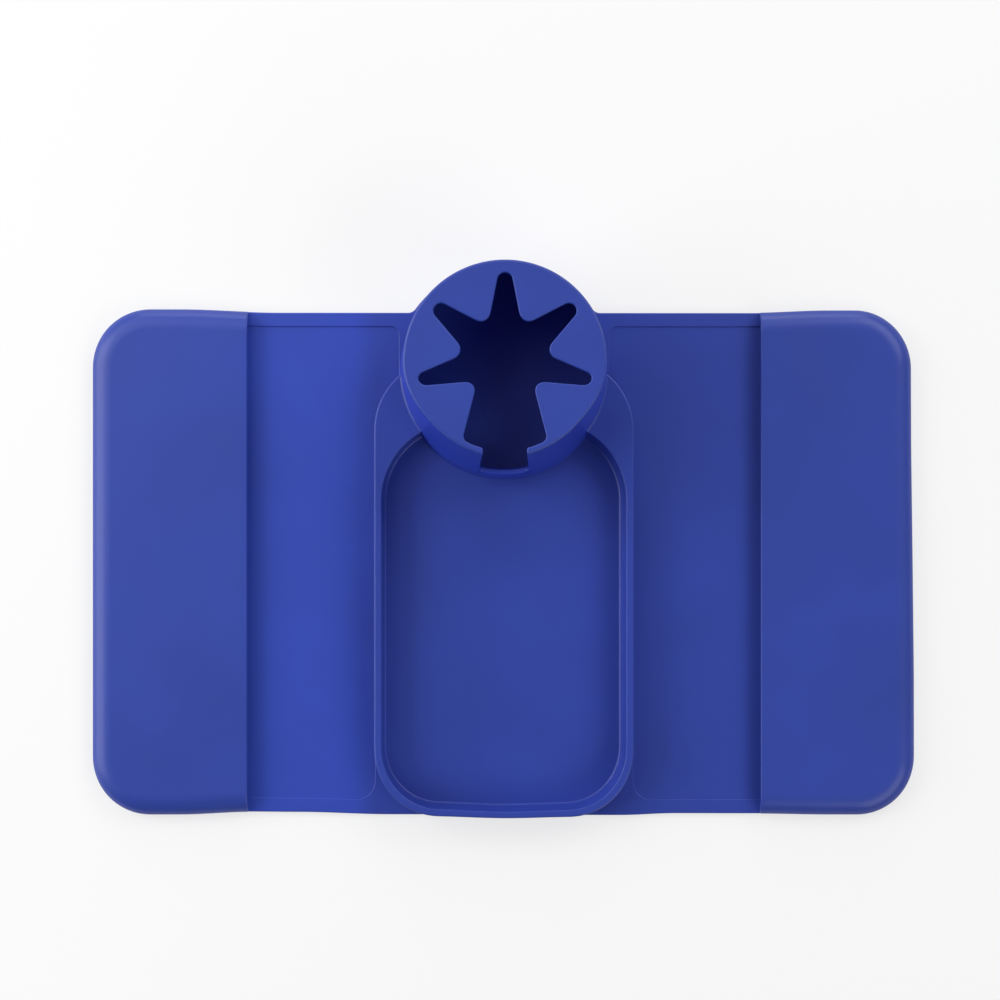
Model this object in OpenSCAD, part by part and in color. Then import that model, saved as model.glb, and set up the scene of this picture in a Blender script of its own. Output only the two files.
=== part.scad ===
// Sofa arm tray: a flexible silicone mat that drapes over the arm of a sofa.
// A raised tray and a cup holder sit in the middle and a pocket hangs on each side.
// Origin: middle of the flat underside. +X right, +Y towards the cup holder, +Z up.

/* [Mat] */
// Width of the whole mat, from pocket end to pocket end
mat_w = 520; // [480:1:600]
// Depth of the mat between the pockets, front edge to rear edge
mat_d = 316; // [306:1:360]
// Thickness of the border bands and of the pocket backs
mat_t = 3.2; // [2.8:0.1:4.5]
// How far the thin panels lie below the border bands
panel_step = 0.8; // [0.4:0.1:1.4]
// Width of the border bands along the front and rear edges
band_w = 8.5; // [5:0.5:14]
// Radius of the panel corners beside the front corners of the tray
panel_corner_r = 13; // [8:1:16]
// Radius of the panel corners beside the cup holder
panel_rear_r = 6; // [3:0.5:10]

/* [Pockets] */
// Depth of each pocket, from its mouth to the end of the mat
pocket_depth = 98.5; // [80:0.5:120]
// Thickness of a whole pocket, from the underside to the outer face
pocket_h = 12.8; // [11:0.1:18]
// Thickness of the front sheet of a pocket
pocket_sheet_t = 2.4; // [1.8:0.1:3.5]
// Width of the rim round three sides of a pocket
pocket_rim_w = 5; // [3:0.5:8]
// How far a pocket stands out past the front and rear edges of the mat
pocket_proud = 2; // [0.5:0.5:4]
// Radius of the outer corners of the mat
pocket_corner_r = 36.5; // [24:0.5:48]

/* [Tray] */
// Width of the tray over its rim
tray_w = 162.4; // [154:0.2:172]
// Height of the rim and deck above the underside
tray_h = 22; // [16:0.5:30]
// Width of the flat top of the rim
rim_w = 4.5; // [3:0.5:6]
// Thickness of the tray floor and of the tab under the cup holder
floor_t = 3; // [2.4:0.1:4]
// How far the outer walls lean in from foot to rim
outer_draft = 1.3; // [0.5:0.1:2]
// How far the inner walls lean out from floor to rim
well_draft = 3.4; // [2:0.2:6]
// How far the front wall stands out past the front edge of the mat
tray_proud = 2; // [0.5:0.5:4]
// Radius of the front corners of the tray at its rim
tray_front_r = 41; // [32:1:50]
// Radius of the rear corners of the deck
deck_rear_r = 46; // [38:1:54]
// Distance from the rear edge of the mat to the rear edge of the deck
deck_inset = 30; // [22:1:38]
// Radius of the rear corners of the tray well at the rim
well_rear_r = 49; // [42:1:56]
// Distance from the rear edge of the mat to the rear end of the tray well
well_inset = 70.6; // [62:0.2:80]

/* [Cup holder] */
// Height of the cup holder above the underside
cup_h = 88; // [70:1:110]
// Radius of the cup holder at its foot
cup_foot_r = 66; // [62:0.5:70]
// Radius of the cup holder at its top
cup_top_r = 61; // [59:0.5:64]
// Thickness of the wall of the cup holder
cup_wall = 4; // [3:0.5:5]
// Depth of the recess in the floor that the foot of the cup holder stands in
cup_seat = 0.5; // [0.3:0.1:1]
// Distance from the rear edge of the mat to the axis of the cup holder
cup_inset = 38.5; // [32:0.5:46]
// Width of the slot for the handle of a mug
notch_w = 28; // [22:1:32]
// How far the tab reaches round the foot of the cup holder
tab_margin = 3; // [2:0.5:6]
// Radius where the tab runs into the rear edge of the mat
tab_fillet_r = 6; // [3:1:32]

/* [Grip disc] */
// Thickness of the grip disc and its petals
disc_t = 3.6; // [2.6:0.1:5]
// Width of the rim of the grip disc, outside the ends of the slots
grip_rim_w = 7.6; // [6:0.1:10]
// Radius of the round ends of the slots
slot_end_r = 4.6; // [3.6:0.1:5.4]
// Length of the petals, from the ends of the slots to their tips
petal_l = 25.7; // [22:0.1:29]
// Radius of the round tips of the petals
petal_nose_r = 6.4; // [5:0.1:7.5]

/* [Folds and fits] */
// Distance from the tray wall to the fold between tray and side panel
panel_fold = 12.5; // [10:0.5:18]
// Distance from the pocket mouth to the fold between side panel and pocket
pocket_fold = 8; // [5:0.5:14]
// Gap at each fold line, where two stretches of one moulding meet
fold_gap = 0.3; // [0.2:0.05:0.6]
// Glue gap between the cup holder and the hole in the deck
glue_gap = 0.2; // [0.1:0.05:0.5]

/* [Hidden] */
$fn = 96;
past = 1;
join = 0.02;
mat_blue = [0.23, 0.31, 0.65];
pocket_blue = [0.26, 0.35, 0.68];
cup_blue = [0.22, 0.30, 0.63];
petal_blue = [0.25, 0.33, 0.66];

half_d = mat_d / 2;
field_y = half_d - band_w;
panel_t = mat_t - panel_step;
mouth_x = mat_w / 2 - pocket_depth;
pocket_y = half_d + pocket_proud;
pocket_roof_z = pocket_h - pocket_sheet_t;

tray_foot_w = tray_w + 2 * outer_draft;
tray_foot_y = half_d + tray_proud;
well_w = tray_w - 2 * rim_w - 2 * well_draft;
well_front_y = tray_foot_y - outer_draft - rim_w - well_draft;
deck_rear_y = half_d - deck_inset;
well_rear_y = half_d - well_inset - well_draft;
fold_x = tray_foot_w / 2 + panel_fold;
pocket_fold_x = mouth_x - pocket_fold;

cup_y = half_d - cup_inset;
cup_foot_z = floor_t - cup_seat;
disc_z = cup_h - disc_t;
tab_r = cup_foot_r + tab_margin;
tab_fillet_x = sqrt(pow(tab_r + tab_fillet_r, 2) - pow(cup_inset + tab_fillet_r, 2));

slot_count = 7;
pitch = 360 / slot_count;
slot_reach = cup_top_r - grip_rim_w;
petal_tip = slot_reach - petal_l;
slot_ring_r = slot_reach - slot_end_r;
hinge_r = slot_ring_r * cos(pitch / 2);
first_petal = 90 + pitch / 2;

// Point at radius r in direction a
function polar(r, a) = [r * cos(a), r * sin(a)];
// Outer radius of the cup holder at height z
function cup_r(z) = cup_foot_r + (cup_top_r - cup_foot_r) * (z - floor_t) / (cup_h - floor_t);
// Direction of slot number k, counted from the rear
function slot_angle(k) = 90 + k * pitch;
// The same point on the other side of a petal
function flipped(p) = [p.x, -p.y];

// The same point turned about the axis by angle a
function turned(p, a) = [p.x * cos(a) - p.y * sin(a), p.x * sin(a) + p.y * cos(a)];

// One petal lies along +X; its straight sides touch its round tip and the round slot ends
nose = [petal_tip + petal_nose_r, 0];
slot_end = polar(slot_ring_r, pitch / 2);
slot_span = slot_end - nose;
side_angle = atan2(slot_span.y, slot_span.x) - asin((petal_nose_r + slot_end_r) / norm(slot_span));
side_normal = polar(1, side_angle + 90);
nose_touch = nose + (petal_nose_r - join) * side_normal;
slot_touch = slot_end - (slot_end_r - join) * side_normal;

// Point on the side of the petal at distance x from the axis
function side_point(x) = [x, nose_touch.y + (x - nose_touch.x) * tan(side_angle)];

// Prism along Y whose two sides lean out by grow over height h, drawn on past both ends of h
module leaning_prism(low_x, high_x, length, h, grow) {
    lean = grow * past / h;
    rotate([90, 0, 0])
        linear_extrude(height = length, center = true)
            polygon([[low_x + lean, -past], [high_x - lean, -past],
                [high_x + grow + lean, h + past], [low_x - grow - lean, h + past]]);
}

// What a round leaning corner leaves of a square one, for a corner that points to -X and -Y
module corner_cutter(r, h, grow) {
    lean = grow * past / h;
    reach = r + abs(grow) + abs(lean) + past;
    difference() {
        translate([-reach, -reach, -past])
            cube([reach, reach, h + 2 * past]);
        translate([0, 0, -past])
            cylinder(h = h + 2 * past, r1 = r - lean, r2 = r + grow + lean);
    }
}

// A block with round upright corners whose walls lean out by grow over height h
module leaning_block(half_w, front_y, rear_y, front_r, rear_r, h, grow) {
    reach = half_w + rear_y - front_y;
    difference() {
        intersection() {
            leaning_prism(-half_w, half_w, 2 * reach, h, grow);
            rotate(90)
                leaning_prism(front_y, rear_y, 2 * reach, h, grow);
            translate([-reach, -reach, 0])
                cube([2 * reach, 2 * reach, h]);
        }
        for (side = [0, 1])
            mirror([side, 0, 0]) {
                translate([front_r - half_w, front_y + front_r, 0])
                    corner_cutter(front_r, h, grow);
                translate([rear_r - half_w, rear_y - rear_r, 0])
                    mirror([0, 1, 0])
                        corner_cutter(rear_r, h, grow);
            }
    }
}

// The sliver between a square corner and a round one, for a corner at the origin
module corner_sliver(r) {
    difference() {
        translate([-past, -past])
            square(r + past);
        translate([r, r])
            circle(r);
    }
}

// Thin field of the mat on the right of the tray, as far as the fold
module near_field() {
    inner_x = tray_w / 2;
    difference() {
        translate([inner_x, -field_y])
            square([fold_x + past - inner_x, 2 * field_y]);
        translate([inner_x, -field_y])
            corner_sliver(panel_corner_r);
    }
    difference() {
        translate([cup_foot_r, well_rear_y])
            square([fold_x - cup_foot_r, field_y - well_rear_y]);
        translate([cup_foot_r, field_y])
            mirror([0, 1])
                corner_sliver(panel_rear_r);
    }
}

// Outline of the right pocket, drawn in by inset and reaching past its mouth by reach
module pocket_outline(inset, reach) {
    edge_y = pocket_y - inset;
    end_x = mat_w / 2 - inset;
    difference() {
        translate([mouth_x - reach, -edge_y])
            square([end_x - mouth_x + reach, 2 * edge_y]);
        for (side = [0, 1])
            mirror([0, side])
                translate([end_x, -edge_y])
                    mirror([1, 0])
                        corner_sliver(pocket_corner_r - inset);
    }
}

// Tab under the cup holder, with the round run-ins to the rear edge of the mat
module tab_outline() {
    translate([0, cup_y])
        circle(tab_r);
    centre_y = half_d + tab_fillet_r;
    for (side = [-1, 1]) {
        centre = [side * tab_fillet_x, centre_y];
        touch = [0, cup_y] + (centre - [0, cup_y]) * tab_r / (tab_r + tab_fillet_r);
        difference() {
            polygon([[side * tab_fillet_x, half_d - past], centre, touch, [0, cup_y]]);
            translate(centre)
                circle(tab_fillet_r);
        }
    }
}

// Space that the cup holder fills, wider by clear
module cup_space(clear) {
    translate([0, cup_y, cup_foot_z])
        cylinder(h = cup_h - cup_foot_z, r1 = cup_r(cup_foot_z) + clear, r2 = cup_top_r + clear);
}

// Slot in the front of the cup holder for the handle of a mug
module handle_slot() {
    reach = cup_foot_r + cup_top_r;
    translate([-notch_w / 2, cup_y - reach, tray_h])
        cube([notch_w, reach, cup_h]);
}

// Tray with its floor, rim, deck and tab, and a strip of mat on each side
module tray_base() {
    color(mat_blue)
        difference() {
            union() {
                difference() {
                    translate([-fold_x, -half_d, 0])
                        cube([2 * fold_x, mat_d, mat_t]);
                    for (side = [0, 1])
                        mirror([side, 0, 0])
                            translate([0, 0, panel_t])
                                linear_extrude(height = panel_step + past)
                                    near_field();
                }
                linear_extrude(height = floor_t)
                    tab_outline();
                leaning_block(tray_foot_w / 2, -tray_foot_y, deck_rear_y + outer_draft,
                    tray_front_r + outer_draft, deck_rear_r + outer_draft, tray_h, -outer_draft);
            }
            translate([0, 0, floor_t])
                leaning_block(well_w / 2, -well_front_y, well_rear_y,
                    tray_front_r - rim_w - well_draft, well_rear_r - well_draft,
                    tray_h - floor_t, well_draft);
            cup_space(glue_gap);
        }
}

// Thin side panel between its two folds, drawn on the right
module side_panel() {
    start_x = fold_x + fold_gap;
    color(mat_blue)
        difference() {
            translate([start_x, -half_d, 0])
                cube([pocket_fold_x - start_x, mat_d, mat_t]);
            translate([start_x - past, -field_y, panel_t])
                cube([pocket_fold_x - start_x + 2 * past, 2 * field_y, mat_t]);
        }
}

// End of the mat that forms the back of a pocket, drawn on the right
module pocket_back() {
    start_x = pocket_fold_x + fold_gap;
    color(mat_blue)
        difference() {
            union() {
                translate([start_x, -half_d, 0])
                    cube([mouth_x - start_x + past, mat_d, mat_t]);
                linear_extrude(height = mat_t)
                    pocket_outline(0, 0);
            }
            translate([0, 0, panel_t])
                linear_extrude(height = mat_t)
                    intersection() {
                        pocket_outline(pocket_rim_w, pocket_fold + past);
                        translate([0, -field_y])
                            square([mat_w, 2 * field_y]);
                    }
        }
}

// Rim of a pocket: a band round three sides that holds its front sheet off its back
module pocket_rim() {
    color(pocket_blue)
        translate([0, 0, mat_t])
            linear_extrude(height = pocket_roof_z - mat_t)
                difference() {
                    pocket_outline(0, 0);
                    pocket_outline(pocket_rim_w, past);
                }
}

// Front sheet of a pocket, bonded to its rim
module pocket_front() {
    color(pocket_blue)
        translate([0, 0, pocket_roof_z])
            linear_extrude(height = pocket_sheet_t)
                pocket_outline(0, 0);
}

// Wall of the cup holder, wider at its foot, with the handle slot
module cup_sleeve() {
    foot_r = cup_r(cup_foot_z);
    head_r = cup_r(disc_z);
    color(cup_blue)
        difference() {
            translate([0, cup_y, 0])
                rotate_extrude()
                    polygon([[foot_r - cup_wall, cup_foot_z], [foot_r, cup_foot_z],
                        [head_r, disc_z], [head_r - cup_wall, disc_z]]);
            handle_slot();
        }
}

// Hole in the grip disc: the slots, the middle as far as the petal hinge lines,
// and at the front the whole gap between two petals, out to the wall of the cup holder
module star_outline() {
    flare = turned(side_point(hinge_r - past), -pitch / 2);
    tip = turned(slot_touch, -pitch / 2);
    front_near = turned(side_point(hinge_r - past), -pitch);
    front_far = turned(side_point(2 * slot_reach), -pitch);
    polygon([for (k = [0 : slot_count - 1]) polar(slot_ring_r, slot_angle(k))]);
    for (k = [0 : slot_count - 1])
        rotate(slot_angle(k)) {
            translate([slot_ring_r, 0])
                circle(slot_end_r);
            polygon([flare, tip, flipped(tip), flipped(flare)]);
        }
    rotate(270)
        intersection() {
            circle(cup_r(disc_z) - cup_wall);
            polygon([front_near, front_far, flipped(front_far), flipped(front_near)]);
        }
}

// Ring of the grip disc: it holds six petals and is open above the handle slot
module grip_ring() {
    color(cup_blue)
        difference() {
            translate([0, cup_y, disc_z])
                cylinder(h = disc_t, r1 = cup_r(disc_z), r2 = cup_top_r);
            translate([0, cup_y, disc_z - past])
                linear_extrude(height = disc_t + 2 * past)
                    star_outline();
            handle_slot();
        }
}

// Petal number n, counted anticlockwise from the rear, seen from above
module petal(n) {
    root = side_point(hinge_r - fold_gap);
    color(petal_blue)
        translate([0, cup_y, disc_z])
            rotate(first_petal + (n < 4 ? n - 1 : n) * pitch) {
                translate(nose)
                    cylinder(h = disc_t, r = petal_nose_r);
                linear_extrude(height = disc_t)
                    polygon([nose_touch, root, flipped(root), flipped(nose_touch)]);
            }
}

tray_base();
mirror([1, 0, 0]) side_panel();  // left_panel
side_panel();  // right_panel
mirror([1, 0, 0]) pocket_back();  // left_pocket_back
pocket_back();  // right_pocket_back
mirror([1, 0, 0]) pocket_rim();  // left_pocket_rim
pocket_rim();  // right_pocket_rim
mirror([1, 0, 0]) pocket_front();  // left_pocket_front
pocket_front();  // right_pocket_front
cup_sleeve();
grip_ring();
petal(1);  // petal_1
petal(2);  // petal_2
petal(3);  // petal_3
petal(4);  // petal_4
petal(5);  // petal_5
petal(6);  // petal_6
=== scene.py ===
# %% [markdown]
# # A sofa arm tray in royal-blue silicone
# This lesson dresses the imported CAD model of the tray for a photograph. The real thing is soft rubber from a mould,
# so it has no screws or seams to show off. What makes it look real is the shape of its edges: every edge is rounded
# by half a millimetre to a few millimetres, and each one catches the light as a thin bright line.
#
# The CAD model is loaded first and stays fixed. It says where everything is, and the tray moulding, the pockets, the
# cup wall and the disc each ride on one of its bodies.

# %% Load the frame
import math

import bpy
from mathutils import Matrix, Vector


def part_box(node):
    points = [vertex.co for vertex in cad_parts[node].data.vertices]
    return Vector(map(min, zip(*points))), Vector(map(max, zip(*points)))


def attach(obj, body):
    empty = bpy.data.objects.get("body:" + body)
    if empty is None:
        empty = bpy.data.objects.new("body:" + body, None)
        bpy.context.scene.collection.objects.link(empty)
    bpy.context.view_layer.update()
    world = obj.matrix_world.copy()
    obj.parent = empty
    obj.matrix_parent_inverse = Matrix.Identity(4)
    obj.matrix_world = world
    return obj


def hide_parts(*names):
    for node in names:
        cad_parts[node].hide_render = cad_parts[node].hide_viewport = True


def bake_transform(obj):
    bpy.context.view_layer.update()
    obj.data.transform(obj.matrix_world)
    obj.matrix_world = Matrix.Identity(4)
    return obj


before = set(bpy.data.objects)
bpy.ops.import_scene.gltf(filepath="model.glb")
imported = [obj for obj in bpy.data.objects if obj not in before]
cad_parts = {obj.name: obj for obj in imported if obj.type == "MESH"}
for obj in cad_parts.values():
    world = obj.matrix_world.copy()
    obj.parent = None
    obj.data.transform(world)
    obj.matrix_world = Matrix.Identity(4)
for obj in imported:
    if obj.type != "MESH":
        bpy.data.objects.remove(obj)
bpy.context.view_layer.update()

# %% [markdown]
# ## Sizes
# All lengths are in metres, because Blender counts in metres. A length written as 4 * MM reads as it would on a
# drawing. The numbers that the CAD model already knows are read from it, so that a piece can't drift away from the
# body that it rides on.

# %% The sizes that most pieces share
MM = 0.001
tray_low, tray_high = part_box("tray_base")
pocket_low, pocket_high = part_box("right_pocket_front")
cup_low, cup_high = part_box("cup_sleeve")
disc_low, disc_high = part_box("grip_ring")

END_X = pocket_high.x
MOUTH_X = pocket_low.x
MAT_Y = 158 * MM
MAT_TOP = 3.2 * MM
FIELD_Z = 2.4 * MM
FIELD_Y = 149.5 * MM
POCKET_TOP = pocket_high.z
TRAY_TOP = tray_high.z
FLOOR_Z = 3 * MM
CUP_Y = (cup_low.y + cup_high.y) / 2
DISC_Z = disc_low.z
CUP_TOP = disc_high.z
print("pocket mouth at", round(MOUTH_X / MM, 1), "cup axis at", round(CUP_Y / MM, 1), "cup top", round(CUP_TOP / MM, 1))


# %% [markdown]
# ## Four helpers
# Most steps in Blender act on what is selected, and the CAD model arrives selected. So each step starts by clearing
# the selection. Faces and edges are picked in code by where they are or where they point, which is what an eye does
# on the screen.

# %% Pick and edit
def only(obj):
    """Selects one object and nothing else."""
    if bpy.context.object and bpy.context.object.mode != "OBJECT":
        bpy.ops.object.mode_set(mode="OBJECT")
    bpy.ops.object.select_all(action="DESELECT")
    obj.select_set(True)
    bpy.context.view_layer.objects.active = obj


def pick(obj, what, wanted):
    """Goes into edit mode with those verts, edges or faces selected for which wanted is true."""
    only(obj)
    bpy.ops.object.mode_set(mode="EDIT")
    bpy.ops.mesh.select_mode(type={"verts": "VERT", "edges": "EDGE", "faces": "FACE"}[what])
    bpy.ops.mesh.select_all(action="DESELECT")
    bpy.ops.object.mode_set(mode="OBJECT")
    mesh = obj.data
    if what == "verts":
        for vert in mesh.vertices:
            vert.select = wanted(vert.co)
    elif what == "edges":
        for edge in mesh.edges:
            a, b = (mesh.vertices[i].co for i in edge.vertices)
            edge.select = wanted(a, b)
    else:
        for face in mesh.polygons:
            face.select = wanted(face.center, face.normal)
    bpy.ops.object.mode_set(mode="EDIT")


def leave():
    """Back to object mode."""
    bpy.ops.object.mode_set(mode="OBJECT")


def outwards(obj):
    """Merges doubles and turns all faces outwards."""
    pick(obj, "faces", lambda centre, normal: True)
    bpy.ops.mesh.remove_doubles(threshold=1e-7)
    bpy.ops.mesh.normals_make_consistent(inside=False)
    leave()


# %% [markdown]
# A flat sheet with round corners is the start of nearly every piece: a plane is added, scaled to its length and
# width, and its corner points are bevelled. Bevelling a point cuts the corner off along an arc. Front and rear
# corners have their own radius, so they are done one pair at a time.

# %% A sheet with round corners
def sheet(name, x0, x1, y0, y1, z, front_r=0.0, rear_r=0.0, count=24):
    """A flat face with round corners."""
    x0, x1 = sorted((x0, x1))
    bpy.ops.object.select_all(action="DESELECT")
    bpy.ops.mesh.primitive_plane_add(size=1, location=((x0 + x1) / 2, (y0 + y1) / 2, z))
    obj = bpy.context.object
    obj.name = name
    obj.scale = (x1 - x0, y1 - y0, 1)
    bpy.ops.object.transform_apply(location=True, rotation=True, scale=True)
    for radius, edge_y in ((front_r, y0), (rear_r, y1)):
        if radius:
            pick(obj, "verts", lambda co: abs(co.y - edge_y) < 1e-6)
            bpy.ops.mesh.bevel(offset=radius, offset_type="OFFSET", segments=count, profile=0.5, affect="VERTICES")
            leave()
    return obj


def arc(centre_x, centre_y, radius, start, end, count):
    """Points along an arc, with its angles in degrees."""
    angles = [math.radians(start + (end - start) * k / count) for k in range(count + 1)]
    return [(centre_x + radius * math.cos(a), centre_y + radius * math.sin(a)) for a in angles]


def flat_face(name, points, z):
    """One flat face with the given outline: a filled circle whose points are moved to their places."""
    bpy.ops.object.select_all(action="DESELECT")
    bpy.ops.mesh.primitive_circle_add(vertices=len(points), radius=50 * MM, fill_type="NGON", location=(0, 0, 0))
    obj = bpy.context.object
    obj.name = name
    for index, (x, y) in zip(obj.data.polygons[0].vertices, points):
        obj.data.vertices[index].co = (x, y, z)
    obj.data.update()
    pick(obj, "faces", lambda centre, normal: normal.z < 0)
    bpy.ops.mesh.flip_normals()
    leave()
    return obj


def thicken(obj, height):
    """Extrudes a flat face into a plate."""
    pick(obj, "faces", lambda centre, normal: True)
    bpy.ops.mesh.extrude_region_move(TRANSFORM_OT_translate={"value": (0, 0, height)})
    leave()
    outwards(obj)


def close_open_side(obj):
    """Closes the open side of a shell with one face."""
    only(obj)
    bpy.ops.object.mode_set(mode="EDIT")
    bpy.ops.mesh.select_mode(type="EDGE")
    bpy.ops.mesh.select_all(action="DESELECT")
    bpy.ops.mesh.select_non_manifold()
    bpy.ops.mesh.edge_face_add()
    leave()
    outwards(obj)


def rise(obj, steps):
    """Raises the sheet through a list of (inwards, upwards) steps with the inset tool, then closes it."""
    pick(obj, "faces", lambda centre, normal: True)
    for inwards, upwards in steps:
        bpy.ops.mesh.inset(thickness=max(inwards, 0.0), depth=upwards, use_even_offset=True, use_boundary=True)
    leave()
    close_open_side(obj)


def rounding(radius, count, flip=False):
    """Steps round a quarter circle, from upright towards flat, or the other way round."""
    steps = []
    for k in range(count):
        a = math.radians(90 * k / count)
        b = math.radians(90 * (k + 1) / count)
        inwards = radius * (math.cos(a) - math.cos(b))
        upwards = radius * (math.sin(b) - math.sin(a))
        steps.append((inwards, upwards))
    return [(i, u) for i, u in reversed(steps)] if flip else steps


# %% [markdown]
# Holes are cut with the Boolean modifier. The tool body is shaped first, with its own rounded edges, so the hole has
# rounded edges as soon as it is cut. Then the tool is thrown away.

# %% Cut, bevel and finish
def combine(target, tool, operation="DIFFERENCE", keep=False):
    """Cuts, joins or intersects target with tool."""
    only(target)
    cut = target.modifiers.new("cut", "BOOLEAN")
    cut.operation = operation
    cut.solver = "EXACT"
    cut.object = tool
    bpy.ops.object.modifier_apply(modifier=cut.name)
    if not keep:
        bpy.data.objects.remove(tool)
    return target


def soften(obj, width, wanted, segments=3, sharper_than=30.0):
    """Rounds the sharp edges for which wanted(a, b) is true, or by the share of the width that it gives."""
    mesh = obj.data
    weights = mesh.attributes.get("bevel_weight_edge") or mesh.attributes.new("bevel_weight_edge", "FLOAT", "EDGE")
    sides = {}
    for face in mesh.polygons:
        for key in face.edge_keys:
            sides.setdefault(key, []).append(face.normal.copy())
    count = 0
    for edge in mesh.edges:
        normals = sides.get(edge.key, [])
        sharp = len(normals) == 2 and normals[0].angle(normals[1], 0) > math.radians(sharper_than)
        a, b = (mesh.vertices[i].co for i in edge.vertices)
        share = float(wanted(a, b)) if sharp else 0.0
        weights.data[edge.index].value = share
        count += share > 0
    only(obj)
    bevel = obj.modifiers.new("soft", "BEVEL")
    bevel.limit_method = "WEIGHT"
    bevel.offset_type = "OFFSET"
    bevel.width = width
    bevel.segments = segments
    bevel.use_clamp_overlap = False
    bpy.ops.object.modifier_apply(modifier=bevel.name)
    weights = obj.data.attributes.get("bevel_weight_edge")
    if weights:
        obj.data.attributes.remove(weights)
    return count


def slice_across(obj, places, normal=(1, 0, 0)):
    """Adds a row of edges across the piece at each place, where it has to bend."""
    for place in places:
        pick(obj, "faces", lambda centre, face_normal: True)
        bpy.ops.mesh.bisect(plane_co=place, plane_no=normal, use_fill=False)
        leave()


def keep_side(obj, place, normal):
    """Cuts the piece in two with a plane, keeps what lies on the side that normal points away from, and closes it."""
    pick(obj, "faces", lambda centre, face_normal: True)
    bpy.ops.mesh.bisect(plane_co=place, plane_no=normal, use_fill=True, clear_outer=True)
    leave()


def copy_of(obj, name):
    """A copy with its own mesh."""
    only(obj)
    bpy.ops.object.duplicate(linked=False)
    made = bpy.context.object
    made.name = name
    made.data.name = name
    return made


def smooth(obj, angle=32.0):
    """Smooth shading that stays flat on the flats."""
    only(obj)
    bpy.ops.object.shade_smooth_by_angle(angle=math.radians(angle))
    weighted = obj.modifiers.new("flat stays flat", "WEIGHTED_NORMAL")
    weighted.keep_sharp = True
    weighted.weight = 100
    bpy.ops.object.modifier_apply(modifier=weighted.name)
    print(obj.name, len(obj.data.polygons), "faces")


# %% [markdown]
# ## The camera
# The photograph was taken from straight above with a fairly long lens, about a metre and a half up. The left walls of
# the cup holder lean in as much as the right ones, so the camera stood over the middle of the mat. The object sits a
# little low in the picture, and that is done with a small lens shift, which keeps the view straight down.

# %% Camera
CAMERA_HEIGHT = 1.478
CAMERA_POINT = Vector((0.0, -2.2 * MM, CAMERA_HEIGHT))
FOCAL_PIXELS = 1577 * CAMERA_HEIGHT
SENSOR = 36.0

bpy.ops.object.select_all(action="DESELECT")
bpy.ops.object.camera_add(location=CAMERA_POINT, rotation=(0, 0, 0))
camera = bpy.context.object
camera.name = "photo_camera"
camera.data.sensor_width = SENSOR
camera.data.lens = FOCAL_PIXELS * SENSOR / 1000
camera.data.shift_x = -0.004
camera.data.shift_y = 0.065
camera.data.clip_end = 20
bpy.context.scene.camera = camera
print("lens", round(camera.data.lens, 1), "mm")

# %% [markdown]
# ## Floor and light
# The tray lies on a white table in soft daylight. The table is a big plane. Its colour is plain white paper for the
# light that bounces off it, and a little brighter where the camera looks straight at it, which gives the clean white
# background without putting more light on the tray. Far away, where the lamps don't reach, it is brighter still, so
# that the table runs into the white backdrop in a low view.

# %% Floor
def nodes_of(material):
    """A fresh node tree and its output."""
    material.use_nodes = True
    tree = material.node_tree
    tree.nodes.clear()
    output = tree.nodes.new("ShaderNodeOutputMaterial")
    return tree, output


bpy.ops.object.select_all(action="DESELECT")
bpy.ops.mesh.primitive_plane_add(size=12, location=(0, 0, -0.2 * MM))
floor = bpy.context.object
floor.name = "white_table"

paper = bpy.data.materials.new("white_table_top")
tree, output = nodes_of(paper)
diffuse = tree.nodes.new("ShaderNodeBsdfDiffuse")
diffuse.inputs["Color"].default_value = (0.80, 0.80, 0.80, 1)
pale = tree.nodes.new("ShaderNodeBsdfDiffuse")
pale.inputs["Color"].default_value = (0.32, 0.32, 0.32, 1)
glow = tree.nodes.new("ShaderNodeEmission")
glow.inputs["Color"].default_value = (1.0, 1.0, 1.0, 1)
spot = tree.nodes.new("ShaderNodeTexCoord")
far = tree.nodes.new("ShaderNodeVectorMath")
far.operation = "LENGTH"
fade = tree.nodes.new("ShaderNodeMapRange")
fade.interpolation_type = "SMOOTHSTEP"
fade.inputs["From Min"].default_value = 0.7
fade.inputs["From Max"].default_value = 3.0
fade.inputs["To Min"].default_value = 0.665
fade.inputs["To Max"].default_value = 0.95
tree.links.new(spot.outputs["Object"], far.inputs[0])
tree.links.new(far.outputs["Value"], fade.inputs["Value"])
tree.links.new(fade.outputs["Result"], glow.inputs["Strength"])
path = tree.nodes.new("ShaderNodeLightPath")
seen = tree.nodes.new("ShaderNodeAddShader")
choose = tree.nodes.new("ShaderNodeMixShader")
tree.links.new(pale.outputs[0], seen.inputs[0])
tree.links.new(glow.outputs[0], seen.inputs[1])
tree.links.new(path.outputs["Is Camera Ray"], choose.inputs[0])
tree.links.new(diffuse.outputs[0], choose.inputs[1])
tree.links.new(seen.outputs[0], choose.inputs[2])
tree.links.new(choose.outputs[0], output.inputs["Surface"])
floor.data.materials.append(paper)
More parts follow.
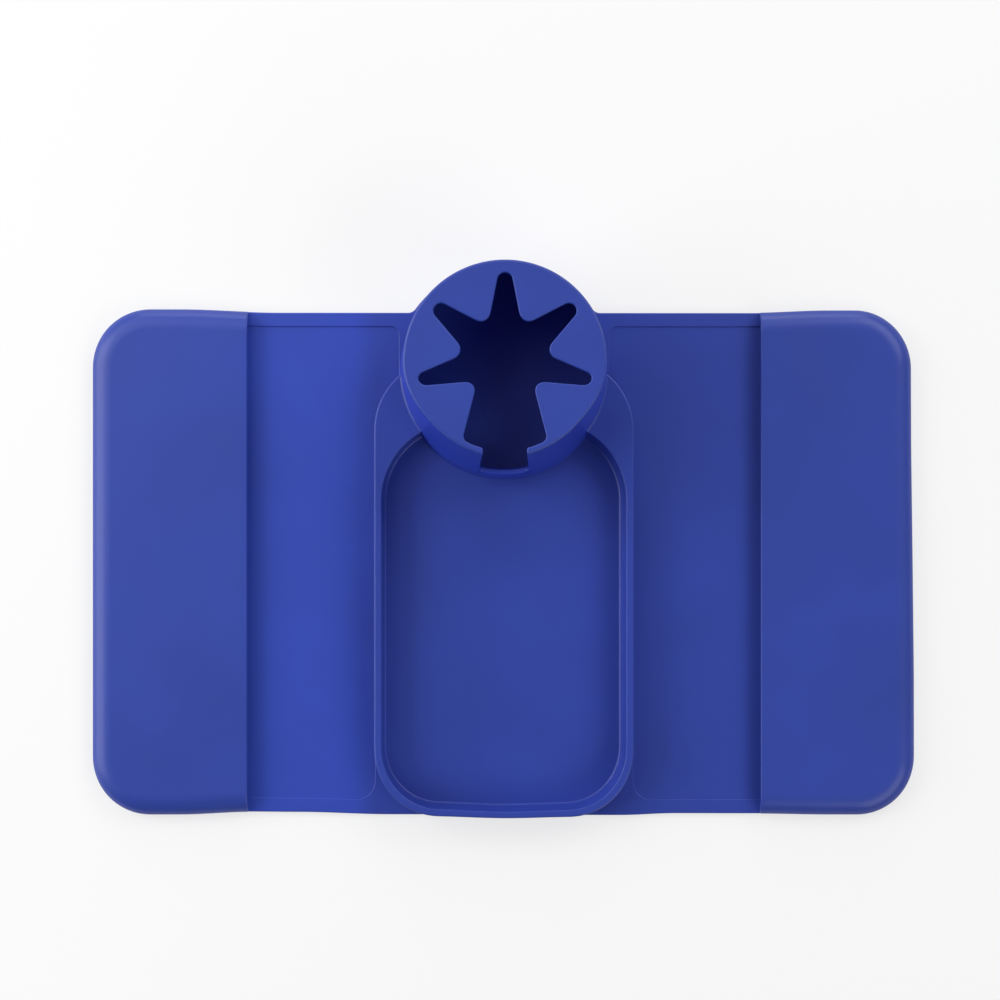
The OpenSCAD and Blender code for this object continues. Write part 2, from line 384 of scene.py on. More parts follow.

# %% [markdown]
# The shadows tell where the light comes from. The left pocket and the left wall of the tray throw long soft shadows to
# the right, and the left end of the mat is the brightest, so there is a window low and near on the left. The cup
# holder throws its shadow forwards onto the tray, so more light comes from behind it than from the front: a high panel
# at the rear left, a low one behind, and one at the rear right. A fourth panel stands at the front right. The room
# itself is dim, which is why the walls of the tray and the inside of the cup holder are such a deep, clean blue.
# Some of this light is painted into the silicone colours below: the left end of the mat is brightened in its colour,
# and the wall of the cup holder is a brighter blue than the mat.

# %% Lights
def area_lamp(name, size_x, size_y, place, aim, power):
    """A rectangular lamp that looks at a point."""
    bpy.ops.object.select_all(action="DESELECT")
    bpy.ops.object.light_add(type="AREA", location=place)
    lamp = bpy.context.object
    lamp.name = name
    lamp.data.shape = "RECTANGLE"
    lamp.data.size = size_x
    lamp.data.size_y = size_y
    lamp.data.energy = power
    lamp.rotation_euler = (Vector(aim) - Vector(place)).to_track_quat("-Z", "Y").to_euler()
    return lamp


def panel(name, size_x, size_y, direction, elevation, distance, power):
    """A lamp at a direction round the object and an elevation above the table, both in degrees."""
    a, e = math.radians(direction), math.radians(elevation)
    place = (distance * math.cos(e) * math.cos(a), distance * math.cos(e) * math.sin(a), distance * math.sin(e))
    return area_lamp(name, size_x, size_y, place, (0, 0, 0), power)


panel("window", 1.5, 1.2, 175, 25, 1.6, 18)
panel("rear_left_panel", 2.0, 2.0, 135, 48, 2.4, 16)
panel("rear_panel", 1.9, 0.95, 90, 14, 2.4, 16)
panel("rear_right_panel", 1.9, 1.1, 45, 37, 2.4, 20.5)
panel("front_right_panel", 1.9, 1.1, -45, 37, 2.4, 17.5)

world = bpy.data.worlds.new("white_room")
bpy.context.scene.world = world
world.use_nodes = True
room = world.node_tree
walls = room.nodes["Background"]
walls.inputs["Color"].default_value = (0.07, 0.07, 0.071, 1)
walls.inputs["Strength"].default_value = 1.0
backdrop = room.nodes.new("ShaderNodeBackground")
backdrop.inputs["Color"].default_value = (0.97, 0.97, 0.97, 1)
seen_by = room.nodes.new("ShaderNodeLightPath")
either = room.nodes.new("ShaderNodeMixShader")
room.links.new(seen_by.outputs["Is Camera Ray"], either.inputs[0])
room.links.new(walls.outputs[0], either.inputs[1])
room.links.new(backdrop.outputs[0], either.inputs[2])
room.links.new(either.outputs[0], room.nodes["World Output"].inputs["Surface"])

scene = bpy.context.scene
scene.view_settings.view_transform = "Standard"


# %% [markdown]
# ## The silicone
# Moulded silicone is matt to satin. Its colour goes right through, and the mould gives it a very fine grain that
# blurs reflections. Two things keep it from looking like paint: a faint cloudiness in the colour, a few centimetres
# across, and the grain, a few tenths of a millimetre. Both come from noise on Object coordinates, so they stay put
# when the camera moves.

# %% Silicone material
def silicone(name, colour, roughness=0.46, grain=0.08, painted_light_left=1.0):
    """Satin silicone, dyed through. Left of the tray its colour is made brighter by the given factor, which is painted
    light on the left end of the mat.
    """
    material = bpy.data.materials.new(name)
    tree, output = nodes_of(material)
    new, link = tree.nodes.new, tree.links.new
    shader = new("ShaderNodeBsdfPrincipled")
    shader.inputs["IOR"].default_value = 1.43
    shader.inputs["Specular IOR Level"].default_value = 0.7
    shader.inputs["Coat Weight"].default_value = 0.5
    shader.inputs["Coat Roughness"].default_value = 0.26
    shader.inputs["Coat IOR"].default_value = 1.43
    place = new("ShaderNodeTexCoord")

    clouds = new("ShaderNodeTexNoise")
    clouds.inputs["Scale"].default_value = 14.0
    clouds.inputs["Detail"].default_value = 3.0
    tint = new("ShaderNodeValToRGB")
    tint.color_ramp.elements[0].position = 0.3
    tint.color_ramp.elements[1].position = 0.7
    tint.color_ramp.elements[0].color = (*[c * 0.93 for c in colour], 1)
    tint.color_ramp.elements[1].color = (*[c * 1.06 for c in colour], 1)

    fine = new("ShaderNodeTexNoise")
    fine.inputs["Scale"].default_value = 1800.0
    fine.inputs["Detail"].default_value = 2.0
    uneven = new("ShaderNodeMapRange")
    uneven.inputs["To Min"].default_value = roughness - 0.05
    uneven.inputs["To Max"].default_value = roughness + 0.05
    bump = new("ShaderNodeBump")
    bump.inputs["Strength"].default_value = grain
    bump.inputs["Distance"].default_value = 0.05 * MM

    for noise in (clouds, fine):
        link(place.outputs["Object"], noise.inputs["Vector"])
    link(clouds.outputs["Fac"], tint.inputs["Fac"])
    # Painted light: left of x = -80 mm the colour grows brighter, up to the full factor at x = -95 mm and beyond.
    axes = new("ShaderNodeSeparateXYZ")
    painted_light_ramp = new("ShaderNodeMapRange")
    painted_light_ramp.inputs["From Min"].default_value = -95 * MM
    painted_light_ramp.inputs["From Max"].default_value = -80 * MM
    painted_light_ramp.inputs["To Min"].default_value = painted_light_left
    painted_light_ramp.inputs["To Max"].default_value = 1.0
    painted_brightening = new("ShaderNodeVectorMath")
    painted_brightening.operation = "SCALE"
    link(place.outputs["Object"], axes.inputs[0])
    link(axes.outputs["X"], painted_light_ramp.inputs["Value"])
    link(tint.outputs["Color"], painted_brightening.inputs[0])
    link(painted_light_ramp.outputs["Result"], painted_brightening.inputs["Scale"])
    link(painted_brightening.outputs[0], shader.inputs["Base Color"])
    link(clouds.outputs["Fac"], uneven.inputs["Value"])
    link(uneven.outputs["Result"], shader.inputs["Roughness"])
    link(fine.outputs["Fac"], bump.inputs["Height"])
    link(bump.outputs["Normal"], shader.inputs["Normal"])
    link(shader.outputs[0], output.inputs["Surface"])
    return material


MAT_BLUE = (0.0145, 0.046, 0.382)
POCKET_BLUE = (0.0155, 0.048, 0.374)
# The cup holder's wall is the same silicone as the mat, but its blue is raised from 0.38 to 0.50: painted light that
# lifts its shaded inside.
CUP_BLUE_PAINTED_LIGHTER = (0.014, 0.046, 0.50)
# The mat's colour carries painted light: its left end is 1.28 times brighter.
mat_finish = silicone("mat_silicone", MAT_BLUE, roughness=0.60, painted_light_left=1.28)
pocket_finish = silicone("pocket_silicone", POCKET_BLUE, roughness=0.62)
cup_finish = silicone("cup_silicone", CUP_BLUE_PAINTED_LIGHTER, roughness=0.55)
disc_finish = silicone("grip_silicone", POCKET_BLUE, roughness=0.62)


def dress(obj, material):
    """Gives a piece its finish."""
    obj.data.materials.clear()
    obj.data.materials.append(material)


# %% [markdown]
# ## The mat
# Silicone is soft, so no edge of the real mat is quite straight. Its ends stand out up to 2 mm past its middle, the
# front edge bows out beside the tray, and the right end is drawn in at the rear. settle() moves the points of a
# finished piece by these small amounts, read at a few stations along each edge.
#
# The mat is one thin moulding, 3.2 mm thick at its border and 2.4 mm in its fields. It is modelled as one flat sheet
# from end to end, so that its edges run through, and cut into five pieces at the end: the middle, and two on each side,
# which reach across the folds. The cuts lie on flat stretches, where nothing shows them.
#
# The tab under the cup holder grows out of the rear edge, with a small hollow curve on each side, so that the
# silicone doesn't tear there. The whole outline is a chain of arcs, and the straight edges are what joins them.

# %% How the soft mat has settled
REAR_EDGE = ((-205, 1.5), (-142, -0.5), (155, -0.7), (205, 0.8))
FRONT_EDGE = ((-205, 2.0), (-160, 0.3), (-130, 0.5), (-72, 2.0), (74, 2.5), (108, 1.3), (160, 1.4), (205, 2.0))


def ease(t):
    """Smooth step from 0 to 1."""
    t = min(max(t, 0.0), 1.0)
    return t * t * (3 - 2 * t)


def along(stations, x):
    """Reads a list of (x, offset) stations in mm, with smooth steps between them."""
    for (x0, y0), (x1, y1) in zip(stations, stations[1:]):
        if x <= x1:
            return y0 + (y1 - y0) * ease((x - x0) / (x1 - x0))
    return stations[-1][1]


def settle(obj):
    """Moves the front, rear and right edges by up to 3 mm, as the mat lies in the photograph."""
    for vert in obj.data.vertices:
        x, y = vert.co.x / MM, vert.co.y / MM
        edge = along(REAR_EDGE, x) if y > 0 else along(FRONT_EDGE, x)
        vert.co.y += (1 if y > 0 else -1) * edge * ease((abs(y) - 90) / 60) * MM
        vert.co.x -= (0.8 + 1.9 * ease((y + 90) / 200)) * ease((x - 170) / 90) * MM


# %% Outline of the mat
CORNER_R = 36.5 * MM
TAB_R = 69.4 * MM
FILLET_R = 6 * MM

fillet_x = math.sqrt((TAB_R + FILLET_R) ** 2 - (MAT_Y + FILLET_R - CUP_Y) ** 2)
meet = math.degrees(math.atan2(MAT_Y + FILLET_R - CUP_Y, fillet_x))
corner_x = END_X - CORNER_R
corner_y = MAT_Y - CORNER_R
outline = arc(corner_x, -corner_y, CORNER_R, -90, 0, 24)
outline += arc(corner_x, corner_y, CORNER_R, 0, 90, 24)
outline += arc(fillet_x, MAT_Y + FILLET_R, FILLET_R, 270, 180 + meet, 16)
outline += arc(0, CUP_Y, TAB_R, meet, 180 - meet, 72)[1:-1]
outline += arc(-fillet_x, MAT_Y + FILLET_R, FILLET_R, -meet, -90, 16)
outline += arc(-corner_x, corner_y, CORNER_R, 90, 180, 24)
outline += arc(-corner_x, -corner_y, CORNER_R, 180, 270, 24)

mat = flat_face("mat", outline, 0.0)
thicken(mat, MAT_TOP)
soften(mat, 0.9 * MM, lambda a, b: abs(a.z - b.z) < 1e-6, segments=3)
print("mat sheet", len(mat.data.polygons), "faces, tab curve starts at", round(fillet_x / MM, 1))

# %% [markdown]
# The fields are the thin, lower parts of the mat between its border bands. Each is cut out with one tool that has round
# corners: 13 mm beside the front corners of the tray and 6 mm beside the cup holder. The tool is built upside down
# and its foot is rounded, so the step from field to border is a soft one.

# %% Fields
BAND_W = MAT_Y - FIELD_Y


def field_tool(side):
    """The tool that lowers the field on one side."""
    wall_x = 81.2 * MM
    rear_x = 66 * MM
    outer_r = CORNER_R - BAND_W
    points = arc(wall_x + 13 * MM, -FIELD_Y + 13 * MM, 13 * MM, 180, 270, 10)
    points += arc(corner_x, -corner_y, outer_r, -90, 0, 16)
    points += arc(corner_x, corner_y, outer_r, 0, 90, 16)
    points += arc(rear_x + 6 * MM, FIELD_Y - 6 * MM, 6 * MM, 90, 180, 8)
    points += [(rear_x, 84 * MM), (wall_x, 84 * MM)]
    tool = flat_face("field", [(side * x, y) for x, y in points], FIELD_Z + 4 * MM)
    rise(tool, [(0.0, -3.4 * MM)] + [(i, -u) for i, u in rounding(0.6 * MM, 3)])
    return tool


for side in (-1, 1):
    combine(mat, field_tool(side))
print("mat with fields", len(mat.data.polygons), "faces")

# %% [markdown]
# ## Round things
# Round things are made with the spin tool: a profile is drawn point by point with extrude, and spun about the axis of
# the cup holder. The helper makes the small fillet on the deck, the tool for the seat of the cup holder, and its wall.

# %% Spin a profile
TURNS = 180
DECK_R = 64.1 * MM


def lathe(name, profile, closed=False):
    """Spins (radius, height) points about the axis of the cup holder."""
    bpy.ops.object.select_all(action="DESELECT")
    radius, height = profile[0]
    bpy.ops.mesh.primitive_plane_add(size=1 * MM, location=(0, 0, 0))
    obj = bpy.context.object
    obj.name = name
    bpy.ops.object.mode_set(mode="EDIT")
    bpy.ops.mesh.select_mode(type="VERT")
    bpy.ops.mesh.select_all(action="SELECT")
    bpy.ops.mesh.merge(type="CENTER")
    bpy.ops.transform.translate(value=(radius, CUP_Y, height))
    points = profile[1:] + ([profile[0]] if closed else [])
    for next_radius, next_height in points:
        bpy.ops.mesh.extrude_region_move(
            TRANSFORM_OT_translate={"value": (next_radius - radius, 0, next_height - height)})
        radius, height = next_radius, next_height
    bpy.ops.mesh.select_all(action="SELECT")
    bpy.ops.mesh.spin(steps=TURNS, angle=math.tau, center=(0, CUP_Y, 0), axis=(0, 0, 1))
    leave()
    outwards(obj)
    return obj


def cup_radius(z):
    """Outer radius of the cup holder at height z: it narrows from foot to top, and faster below the deck."""
    if z < TRAY_TOP:
        return DECK_R + 1.9 * MM * (TRAY_TOP - z) / (TRAY_TOP - cup_low.z)
    return DECK_R - 3.1 * MM * (z - TRAY_TOP) / (CUP_TOP - TRAY_TOP)


# %% [markdown]
# ## The tray block
# The tray stands on the mat in the same moulding. Its outline is a sheet with two sizes of corner, and its front edge
# is bowed a little, because soft walls give way in the middle. The inset tool then raises it: each step moves the face
# inwards and upwards at once, which makes a wall that leans in, as it must to leave the mould, and a rounded rim.

# %% Tray block
def bow_front(obj, below, amount):
    """Bows the front edge outwards between the two front corners."""
    half = 46 * MM
    slice_across(obj, [(x * MM, 0, 0) for x in range(-36, 37, 6)])
    for vert in obj.data.vertices:
        if vert.co.y < below and abs(vert.co.x) < half:
            vert.co.y -= amount * 0.5 * (1 + math.cos(math.pi * vert.co.x / half))


WALL_LEAN = 1.3 * MM
RIM_ROUND = 1.2 * MM
BLOCK_FOOT = 0.3 * MM
block = sheet("block", -82.5 * MM, 82.5 * MM, -158.5 * MM, 129.3 * MM, BLOCK_FOOT, 42.3 * MM, 47.3 * MM, count=28)
bow_front(block, -150 * MM, 1.0 * MM)
wall_h = TRAY_TOP - RIM_ROUND - BLOCK_FOOT
rise(block, [(WALL_LEAN * wall_h / TRAY_TOP, wall_h)] + rounding(RIM_ROUND, 5))
combine(mat, block, "UNION")
print("mat with tray block", len(mat.data.polygons), "faces")

# %% [markdown]
# Where the cup holder comes out of the deck, a fillet of less than a millimetre runs round it. It is the bright line
# beside its foot in the photograph. The ring is spun, cut to the shape of the deck, and joined to the block before the
# hollow is cut, so that it ends where the deck ends.

# %% Fillet on the deck
ring_profile = [(DECK_R - 1.5 * MM, TRAY_TOP - 1 * MM), (DECK_R + 1.2 * MM, TRAY_TOP - 1 * MM)]
for rise_mm, out_mm in ((0.02, 1.2), (0.14, 0.65), (0.5, 0.2), (1.1, 0.0)):
    ring_profile.append((DECK_R + out_mm * MM, TRAY_TOP + rise_mm * MM))
ring_profile.append((DECK_R - 1.5 * MM, TRAY_TOP + 1.1 * MM))
fillet = lathe("fillet", ring_profile, closed=True)
footprint = sheet("footprint", -79.8 * MM, 79.8 * MM, -150 * MM, 126.6 * MM, 20 * MM, 40 * MM, 45 * MM)
thicken(footprint, 5 * MM)
combine(fillet, footprint, "INTERSECT")
combine(mat, fillet, "UNION")
print("mat with fillet", len(mat.data.polygons), "faces")

# %% [markdown]
# The hollow of the tray is cut by a tool that is built upside down: it starts as a sheet above the rim and goes down,
# first round the lip, then along the leaning wall, then round the foot. The floor sits 1 mm to the left of the rim's
# middle, as the photograph shows, so the tool's lower half is pushed over.

# %% Hollow of the tray
LIP = 0.8 * MM
FOOT = 1.5 * MM
WELL_LEAN = 3.0 * MM
well = sheet("well", -77.2 * MM, 77.2 * MM, -153.5 * MM, 88.0 * MM, TRAY_TOP + 2 * MM, 37.8 * MM, 49.8 * MM, count=28)
bow_front(well, -145 * MM, 1.3 * MM)
well_h = TRAY_TOP - FLOOR_Z - LIP - FOOT
steps = [(0.0, -1.99 * MM)] + [(i, -u) for i, u in rounding(LIP, 4, flip=True)]
steps += [(WELL_LEAN - FOOT, -well_h)] + [(i, -u) for i, u in rounding(FOOT, 4)]
rise(well, steps)
for vert in well.data.vertices:
    depth = min(max((TRAY_TOP - vert.co.z) / (TRAY_TOP - FLOOR_Z), 0.0), 1.0)
    vert.co.x -= 1.0 * MM * depth
    vert.co.y += 0.3 * MM * depth
combine(mat, well)
print("hollowed tray", len(mat.data.polygons), "faces")

# %% [markdown]
# ## The seat of the cup holder
# The cup holder goes through the deck in a round hole and stands in a recess of half a millimetre in the floor. The
# hole is a little narrower than the wall is, so that no gap shows between them: on the real tray they are one.

# %% Seat
SEAT_IN = 0.5 * MM
seat = [(0, cup_low.z), (cup_radius(cup_low.z) - SEAT_IN, cup_low.z)]
seat += [(cup_radius(TRAY_TOP) - SEAT_IN, TRAY_TOP), (cup_radius(TRAY_TOP) - SEAT_IN, TRAY_TOP + 3 * MM)]
seat += [(0, TRAY_TOP + 3 * MM)]
combine(mat, lathe("hole", seat))
print("tray with its seat", len(mat.data.polygons), "faces")

# %% [markdown]
# ## Cut the mat where it bends
# The sheet is sliced finely across the two folds on each side, because a flat face can't bend. Then it is cut into
# five. The inner piece on each side reaches from the tray across the first fold into the panel, the outer one from the
# middle of the panel across the fold at the pocket to the end.

# %% Mat pieces
FOLD = (85 * MM, 105 * MM)
POCKET_FOLD = (146 * MM, 161 * MM)
MID_PANEL = 125 * MM


def stations(first, last, count):
    """Evenly spaced places along X on both sides of the tray."""
    places = [first + (last - first) * k / count for k in range(count + 1)]
    return [(side * x, 0, 0) for x in places for side in (-1, 1)]


slice_across(mat, stations(*FOLD, 16) + stations(*POCKET_FOLD, 12) + stations(164 * MM, 206 * MM, 8))
slice_across(mat, stations(70 * MM, 80 * MM, 2) + stations(108 * MM, 142 * MM, 6))
settle(mat)

cut_pieces = {}
for side, name in ((-1, "left"), (1, "right")):
    inner = copy_of(mat, f"{name}_mat_fold")
    keep_side(inner, (side * FOLD[0], 0, 0), (-side, 0, 0))
    keep_side(inner, (side * MID_PANEL, 0, 0), (side, 0, 0))
    outer = copy_of(mat, f"{name}_mat_end")
    keep_side(outer, (side * MID_PANEL, 0, 0), (-side, 0, 0))
    cut_pieces[name] = (inner, outer)
for side in (-1, 1):
    keep_side(mat, (side * FOLD[0], 0, 0), (side, 0, 0))
mat.name = "tray_moulding"

for obj in [mat] + [piece for pair in cut_pieces.values() for piece in pair]:
    smooth(obj)
    dress(obj, mat_finish)
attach(mat, "tray")
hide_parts("tray_base")
for side, name in ((-1, "left"), (1, "right")):
    inner, outer = cut_pieces[name]
    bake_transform(inner)
    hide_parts(f"{name}_panel")
    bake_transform(outer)
    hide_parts(f"{name}_pocket_back")

# %% [markdown]
# ## The pockets
# A second sheet is bonded to each end of the mat on three sides. It stands up 13 mm and turns over in a wide curve,
# which is the soft pale band along the outer edges in the photograph. The mouth is open towards the tray, and its
# edge is a plain lip. The shell is an extruded sheet with its top edges bevelled wide, and a smaller one cuts it hollow.

# %% Pocket sheets
SHOULDER_W = 13 * MM
RIM_W = 5 * MM
SHEET_T = 2.4 * MM
STRAIGHT_H = 0.6 * MM


def shoulder(width, height, count):
    """Steps round a quarter of an ellipse, from upright to flat."""
    return [(i * width, u * height) for i, u in rounding(1.0, count)]


def pocket_form(name, side, inset, z0, z1, width, count):
    """A closed form with the outline of a pocket, drawn in by inset, that runs on towards the tray."""
    inner_x = side * (MOUTH_X - 40 * MM)
    form = sheet(name, inner_x, side * (END_X - inset), -MAT_Y + inset, MAT_Y - inset, z0)
    pick(form, "verts", lambda co: abs(co.x) > MOUTH_X + 10 * MM)
    bpy.ops.mesh.bevel(offset=CORNER_R - inset, offset_type="OFFSET", segments=20, profile=0.5, affect="VERTICES")
    leave()
    rise(form, [(0.0, STRAIGHT_H)] + shoulder(width, z1 - z0 - STRAIGHT_H, count))
    return form


for side, name in ((-1, "left"), (1, "right")):
    pocket = pocket_form(f"{name}_pocket_sheet", side, 0.0, MAT_TOP, POCKET_TOP, SHOULDER_W, 12)
    hollow = pocket_form("hollow", side, RIM_W, MAT_TOP - 1 * MM, POCKET_TOP - SHEET_T, SHOULDER_W - 4 * MM, 8)
    combine(pocket, hollow)
    keep_side(pocket, (side * MOUTH_X, 0, 0), (-side, 0, 0))
    slice_across(pocket, [(0, y * MM, 0) for y in (-152.5, -148, -143, -72, 0, 72, 143, 148, 152.5)], normal=(0, 1, 0))
    soften(pocket, 0.9 * MM, lambda a, b: max(abs(a.x), abs(b.x)) < MOUTH_X + 1e-5)
    slice_across(pocket, [(side * x * MM, 0, 0) for x in range(166, 207, 5)])
    settle(pocket)
    smooth(pocket)
    dress(pocket, pocket_finish)
    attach(pocket, f"{name}_pocket")
    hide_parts(f"{name}_pocket_rim", f"{name}_pocket_front")

# %% [markdown]
# ## The cup holder
# The wall is a cone that is wider at its foot. At the front it has a slot for the handle of a mug, down to the height
# of the tray's rim. The two free ends beside the slot have nothing to hold them, and on the real tray they have bent
# inwards by 4 mm at the top. The wall is spun with a row of points every centimetre of its height, so that it can
# follow that bend, and the slot is cut with a box whose foot is rounded.

# %% Wall with the handle slot
CUP_WALL = 4 * MM
SLOT_W = 30.7 * MM
SLOT_FOOT_Z = TRAY_TOP

heights = [cup_low.z, 12 * MM, 20 * MM] + [TRAY_TOP + (DISC_Z - TRAY_TOP) * k / 8 for k in range(1, 9)]
outside = [(cup_radius(z), z) for z in heights]
inside = [(cup_radius(z) - CUP_WALL, z) for z in reversed(heights)]
wall = lathe("cup_wall", outside + inside, closed=True)


def slot_tool():
    """The box that cuts the handle slot through the wall and the disc."""
    tool = sheet("slot", -SLOT_W / 2, SLOT_W / 2, CUP_Y - 80 * MM, CUP_Y - 20 * MM, SLOT_FOOT_Z)
    pick(tool, "faces", lambda centre, normal: True)
    bpy.ops.mesh.extrude_region_move(TRANSFORM_OT_translate={"value": (0, 0, 80 * MM)})
    leave()
    outwards(tool)
    soften(tool, 3 * MM, lambda a, b: max(a.z, b.z) < SLOT_FOOT_Z + 1e-6 and abs(a.x - b.x) < 1e-6, segments=5)
    return tool


combine(wall, slot_tool())


def slot_edge(a, b):
    """Full width on the edges at the foot of the slot, and two thirds of it on its sides."""
    beside_slot = max(abs(a.x), abs(b.x)) < SLOT_W / 2 + 1e-5 and max(a.y, b.y) < CUP_Y
    top = a.z > DISC_Z - 1e-6 and b.z > DISC_Z - 1e-6
    if not beside_slot or top or min(a.z, b.z) < 12 * MM or max(a.z, b.z) > DISC_Z + 1e-6:
        return 0.0
    return 1.0 if max(a.z, b.z) < SLOT_FOOT_Z + 3.1 * MM else 0.67


soften(wall, 1.8 * MM, slot_edge, segments=4)
print("cup wall", len(wall.data.polygons), "faces")

# %% [markdown]
# ## The grip disc
# The disc is cut by a star with seven arms. Seven arms would leave seven petals, but the front one is left out, so
# that a handle can pass. The star is one flat face: a circle with as many points as the star has corners, moved to
# their places, and then bevelled corner by corner. Petal tips get a radius of 6.4 mm, the ends of the arms 4.6 mm.

# %% The star
ARMS = 7
PITCH = math.tau / ARMS
ARM_R = 4.6 * MM
ARM_CENTRE = 48.8 * MM
TIP_R = 6.4 * MM
TIP_CENTRE = 34.1 * MM
HINGE_R = ARM_CENTRE * math.cos(PITCH / 2)
FRONT_R = 57.2 * MM

arm_end = Vector((ARM_CENTRE * math.cos(PITCH / 2), ARM_CENTRE * math.sin(PITCH / 2)))
span = arm_end - Vector((TIP_CENTRE, 0))
side_slope = math.atan2(span.y, span.x) - math.asin((TIP_R + ARM_R) / span.length)
flare = side_slope - PITCH / 2
apex = TIP_CENTRE - TIP_R / math.sin(side_slope)
arm_corner = ARM_R * math.tan(math.pi / 4 - flare / 2)


def at(radius, angle, across=0.0):
    """Point at a radius in a direction, moved sideways by across."""
    return (radius * math.cos(angle) - across * math.sin(angle), radius * math.sin(angle) + across * math.cos(angle))


def front_corner():
    """Radius is FRONT_R; returns how far round from the petal's middle its front side meets that circle."""
    b = apex * math.cos(side_slope)
    length = -b + math.sqrt(b * b - apex * apex + FRONT_R * FRONT_R)
    return math.atan2(length * math.sin(side_slope), apex + length * math.cos(side_slope))


def petal_direction(number):
    """Direction of petal 1 to 6, anticlockwise from the rear."""
    return math.pi / 2 + PITCH / 2 + (number - 1 + (number > 3)) * PITCH


corners = []
for arm in range(ARMS):
    direction = math.pi / 2 + arm * PITCH
    if arm == 3:
        start = petal_direction(3) + front_corner()
        stop = petal_direction(4) - front_corner()
        corners += [(at(FRONT_R, start + (stop - start) * k / 12), "front" if k in (0, 12) else "arc") for k in range(13)]
    elif arm != 4:
        corners += [(at(ARM_CENTRE + ARM_R, direction, -arm_corner), "arm"), (at(ARM_CENTRE + ARM_R, direction, arm_corner), "arm")]
    if arm != 3:
        corners.append((at(apex, direction + PITCH / 2), "tip"))

bpy.ops.object.select_all(action="DESELECT")
bpy.ops.mesh.primitive_circle_add(vertices=len(corners), radius=40 * MM, fill_type="NGON", location=(0, 0, 0))
star = bpy.context.object
star.name = "star"
kinds = star.data.attributes.new("kind", "INT", "POINT")
order = list(star.data.polygons[0].vertices)
for index, ((x, y), kind) in zip(order, corners):
    star.data.vertices[index].co = (x, CUP_Y + y, CUP_TOP + 4 * MM)
TIP_CUT = TIP_R / math.tan(side_slope)
wanted_points = {kind: [Vector((x, CUP_Y + y)) for (x, y), k in corners if k == kind] for kind in ("tip", "arm", "front")}
for kind, cut, segments in (("tip", TIP_CUT, 14), ("arm", arm_corner * 0.995, 9), ("front", 3.3 * MM, 7)):
    pick(star, "verts", lambda co: any((co.xy - p).length < 1e-5 for p in wanted_points[kind]))
    bpy.ops.mesh.bevel(offset=cut, offset_type="OFFSET", segments=segments, profile=0.5, affect="VERTICES")
    leave()
pick(star, "faces", lambda centre, normal: True)
if star.data.polygons[0].normal.z < 0:
    bpy.ops.mesh.flip_normals()
bpy.ops.mesh.extrude_region_move(TRANSFORM_OT_translate={"value": (0, 0, -12 * MM)})
leave()
outwards(star)
print("star", len(star.data.vertices), "points, hinge radius", round(HINGE_R / MM, 2))

# %% Disc
disc_r = cup_radius(DISC_Z)
bpy.ops.object.select_all(action="DESELECT")
bpy.ops.mesh.primitive_circle_add(vertices=TURNS, radius=disc_r, fill_type="NGON", location=(0, CUP_Y, DISC_Z))
disc = bpy.context.object
disc.name = "grip_disc"
bpy.ops.object.transform_apply(location=True, rotation=True, scale=True)
pick(disc, "faces", lambda centre, normal: True)
if disc.data.polygons[0].normal.z < 0:
    bpy.ops.mesh.flip_normals()
leave()
rise(disc, [(disc_r - cup_radius(CUP_TOP), CUP_TOP - DISC_Z)])
combine(disc, star)
combine(disc, slot_tool())
EDGE_R = 1.4 * MM


def disc_edge(a, b):
    """Full width on the outer edge, and a good half of it on the edges of the star."""
    if max(a.z, b.z) < DISC_Z + 1 * MM:
        return 0.0
    outer = min(math.hypot(a.x, a.y - CUP_Y), math.hypot(b.x, b.y - CUP_Y)) > cup_radius(CUP_TOP) - 0.1 * MM
    return 1.0 if outer else 0.6


soften(disc, EDGE_R, disc_edge, segments=4)
print("disc", len(disc.data.polygons), "faces")

# %% [markdown]
# Now both are bent as the photograph shows. Each free end leans over in one piece, by about 4 mm at the top: 2.2 mm
# towards the slot and 3.6 mm towards the rear. The bend grows from the foot of the slot to the top, and it fades out
# between an eighth and a quarter of the way round. The low stub below the slot bulges out by 1.3 mm, and the whole
# holder leans half a millimetre to the right.

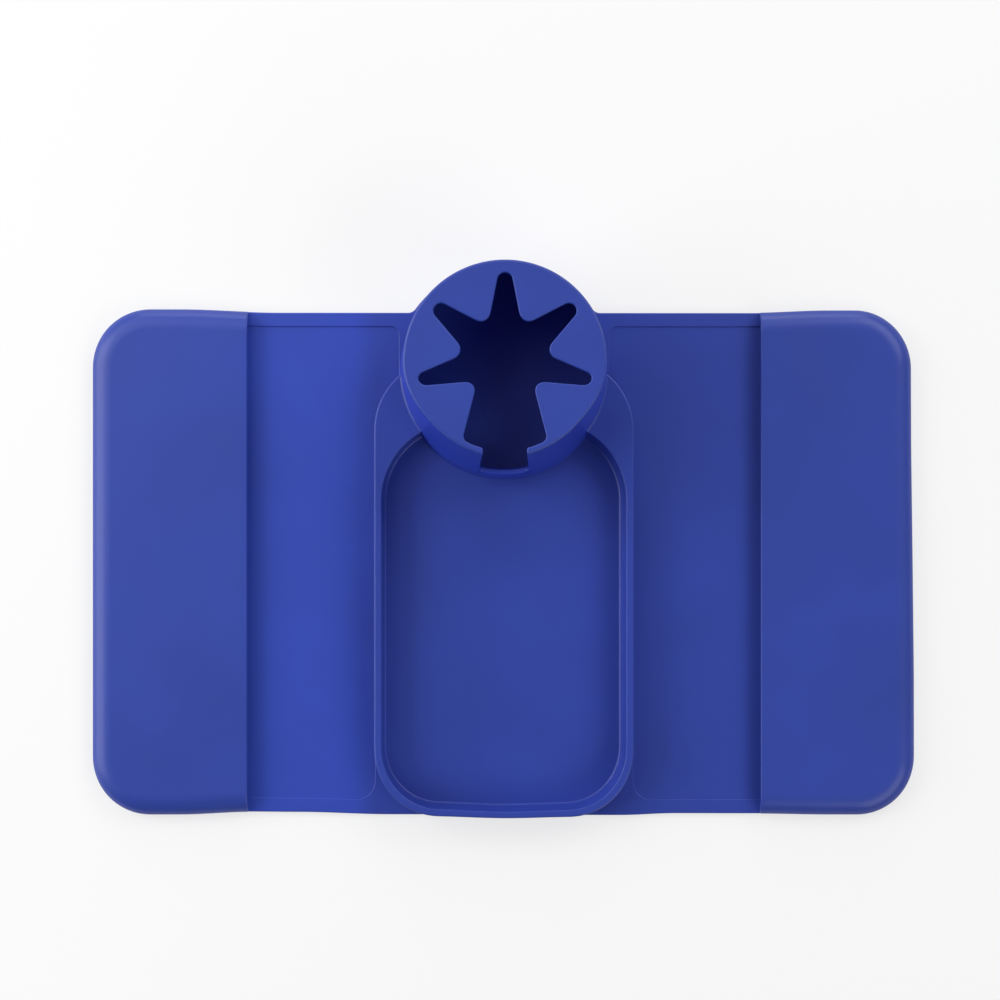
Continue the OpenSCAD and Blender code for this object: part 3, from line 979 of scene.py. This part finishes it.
# %% Bend the free ends inwards
def bend_free_ends(obj):
    """Moves the free ends beside the slot inwards, more towards the top."""
    for vert in obj.data.vertices:
        x, y = vert.co.x, vert.co.y - CUP_Y
        round_from_front = math.degrees(abs(math.atan2(x, -y)))
        height = min(max((vert.co.z - SLOT_FOOT_Z) / (CUP_TOP - SLOT_FOOT_Z), 0.0), 1.0)
        share = ease((92 - round_from_front) / 46) * height
        bulge = 1.3 * ease((60 - round_from_front) / 30) * (1 - ease((vert.co.z - SLOT_FOOT_Z) / (25 * MM)))
        vert.co.x += (0.6 * height - math.copysign(2.2 * share, x)) * MM
        vert.co.y += (3.6 * share - 0.4 * height - bulge) * MM


bend_free_ends(wall)
bend_free_ends(disc)
smooth(wall)
dress(wall, cup_finish)
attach(wall, "tray")
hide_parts("cup_sleeve")

# %% [markdown]
# Each petal bends down along the line between the ends of its two arms. These lines are the sides of a seven-sided
# prism, so one prism cuts all six petals off at once: the disc without the prism is the ring, and what the disc and the
# prism share falls apart into petals.

# %% Ring and petals
bpy.ops.object.select_all(action="DESELECT")
bpy.ops.mesh.primitive_cylinder_add(vertices=ARMS, radius=ARM_CENTRE, depth=30 * MM, location=(0, CUP_Y, CUP_TOP))
prism = bpy.context.object
prism.name = "prism"
first = prism.data.vertices[0].co
turn = math.pi / 2 - math.atan2(first.y, first.x)
prism.rotation_euler = (0, 0, turn)
bpy.ops.object.transform_apply(location=True, rotation=True, scale=True)

petals = copy_of(disc, "petals")
combine(petals, prism, "INTERSECT", keep=True)
combine(disc, prism)
only(petals)
bpy.ops.mesh.separate(type="LOOSE")
loose = [obj for obj in bpy.context.selected_objects if obj.type == "MESH"]
print(len(loose), "petals")

smooth(disc)
dress(disc, disc_finish)
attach(disc, "tray")
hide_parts("grip_ring")

BEND = 9 * MM
for obj in loose:
    middle = sum((vert.co for vert in obj.data.vertices), Vector()) / len(obj.data.vertices)
    angle = math.atan2(middle.y - CUP_Y, middle.x) % math.tau
    number = min(range(1, 7), key=lambda n: abs((petal_direction(n) - angle + math.pi) % math.tau - math.pi))
    direction = Vector((math.cos(petal_direction(number)), math.sin(petal_direction(number)), 0))
    root = Vector((0, CUP_Y, DISC_Z)) + direction * HINGE_R
    obj.name = f"grip_petal_{number}"
    slice_across(obj, [root - direction * (BEND * k / 9) for k in range(1, 10)], normal=direction)
    smooth(obj)
    dress(obj, disc_finish)
    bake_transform(obj)
    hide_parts(f"petal_{number}")
